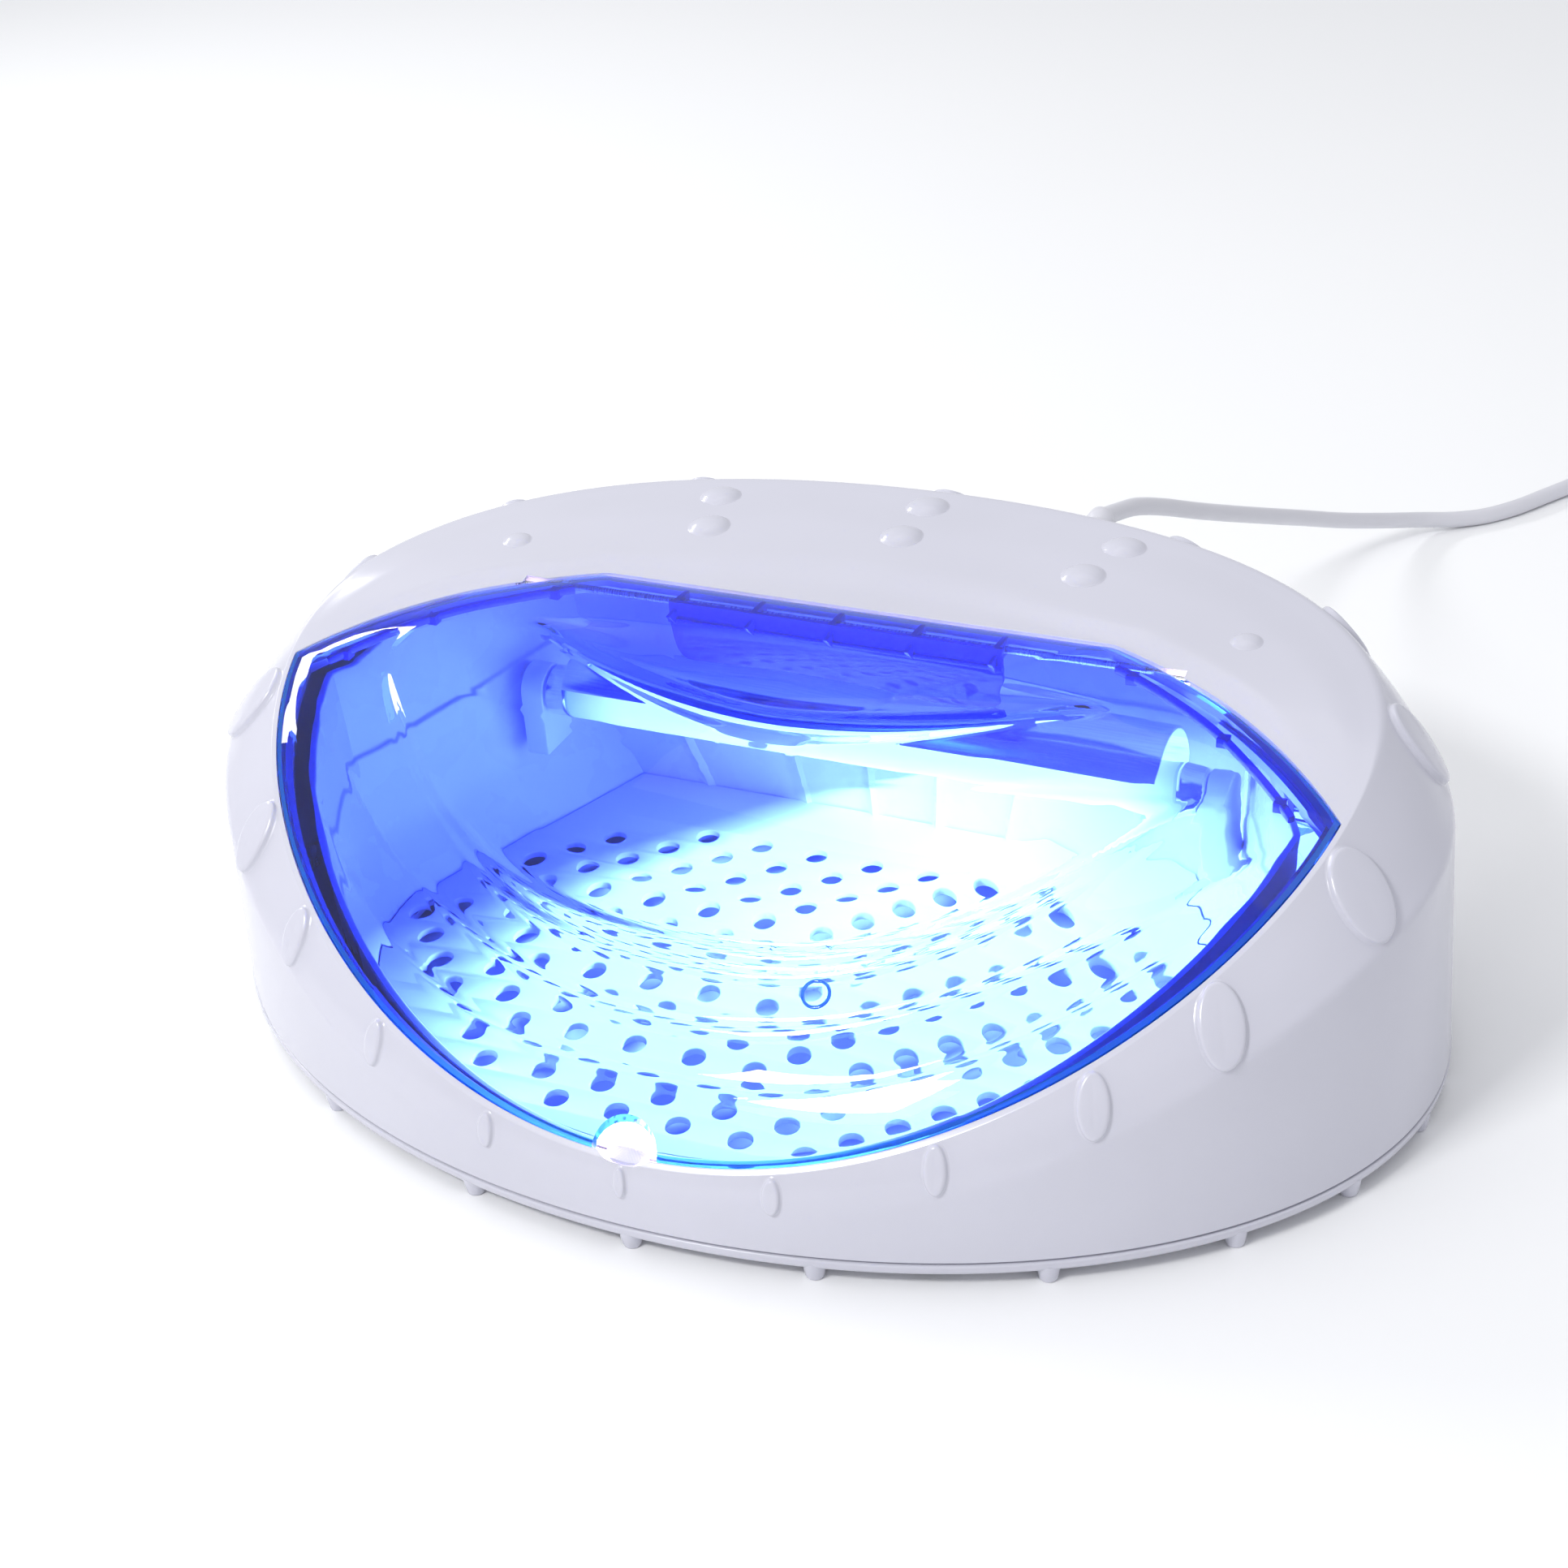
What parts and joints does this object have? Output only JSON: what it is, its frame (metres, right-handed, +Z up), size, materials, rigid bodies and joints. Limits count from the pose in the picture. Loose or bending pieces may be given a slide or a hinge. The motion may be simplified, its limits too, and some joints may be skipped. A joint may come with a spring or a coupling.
{
  "type": "uv curing lamp",
  "caption": "Oval bench-top UV curing cabinet with a hinged tinted lid, a fluorescent UV tube, a perforated tray and a mains cord.",
  "frame": {"origin": "on the bench, under the middle of the body", "axes": "+X to the right along the long way of the oval, +Y to the back, +Z up; the lid opens at the front, -Y"},
  "size_m": [0.4381, 0.5828, 0.1124],
  "materials": {
    "shell_white": "glossy moulded plastic, cool white",
    "inner_white": "semi-gloss moulded plastic, white",
    "lid_blue": "clear cobalt-blue moulded acrylic",
    "steel": "plated steel",
    "reflector_metal": "bright rolled sheet",
    "lamp_glass": "lit tube glass",
    "winding": "varnished winding",
    "dark_plastic": "moulded plastic",
    "lead_blue": "wire insulation",
    "plunger_red": "moulded plastic",
    "cord_white": "smooth white PVC"
  },
  "bodies": {
    "root": {"housing": "shell_white", "base_pan": "shell_white", "base_screw_1": "steel", "base_screw_2": "steel", "base_screw_3": "steel", "base_screw_4": "steel", "base_screw_5": "steel", "base_screw_6": "steel", "chamber_tub": "inner_white", "hinge_bearing_left": "inner_white", "hinge_bearing_right": "inner_white", "lampholder_left": "inner_white", "lampholder_right": "inner_white", "lamp_reflector": "reflector_metal", "ballast_core": "steel", "ballast_winding": "winding", "starter_socket": "inner_white", "starter": "inner_white", "terminal_block": "dark_plastic", "lamp_lead_left": "lead_blue", "lamp_lead_right": "lead_blue", "switch_lead": "lead_blue", "interlock_switch": "dark_plastic", "strain_relief": "cord_white", "power_cord": "cord_white", "cord_coil": "cord_white", "cord_tail": "cord_white", "plug_body": "cord_white", "plug_pin_left": "steel", "plug_pin_right": "steel"},
    "lid": {"lid_shell": "lid_blue", "lid_hinge_frame": "lid_blue", "hinge_rod": "steel", "lid_rib_left": "lid_blue", "lid_rib_right": "lid_blue"},
    "lamp": {"uv_tube": "lamp_glass", "tube_cap_left": "reflector_metal", "tube_cap_right": "reflector_metal"},
    "tray": {"perforated_tray": "inner_white"},
    "plunger": {"switch_plunger": "plunger_red"}
  },
  "joints": [
    {"name": "lid_hinge", "type": "hinge", "parent": "root", "child": "lid", "pos_m": [0, 0.0275, 0.1052], "axis": [-1, 0, 0], "range_deg": [0, 70]},
    {"name": "lamp_twist", "type": "hinge", "parent": "root", "child": "lamp", "pos_m": [0, 0.041, 0.061], "axis": [1, 0, 0], "range_deg": [0, 90]},
    {"name": "tray_lift", "type": "slide", "parent": "root", "child": "tray", "axis": [0, 0, 1], "range_m": [0, 0.012]},
    {"name": "plunger_press", "type": "slide", "parent": "root", "child": "plunger", "axis": [0, 0, 1], "range_m": [-0.002, 0], "stiffness_N_per_m": 200, "springref_m": 0.002}
  ]
}
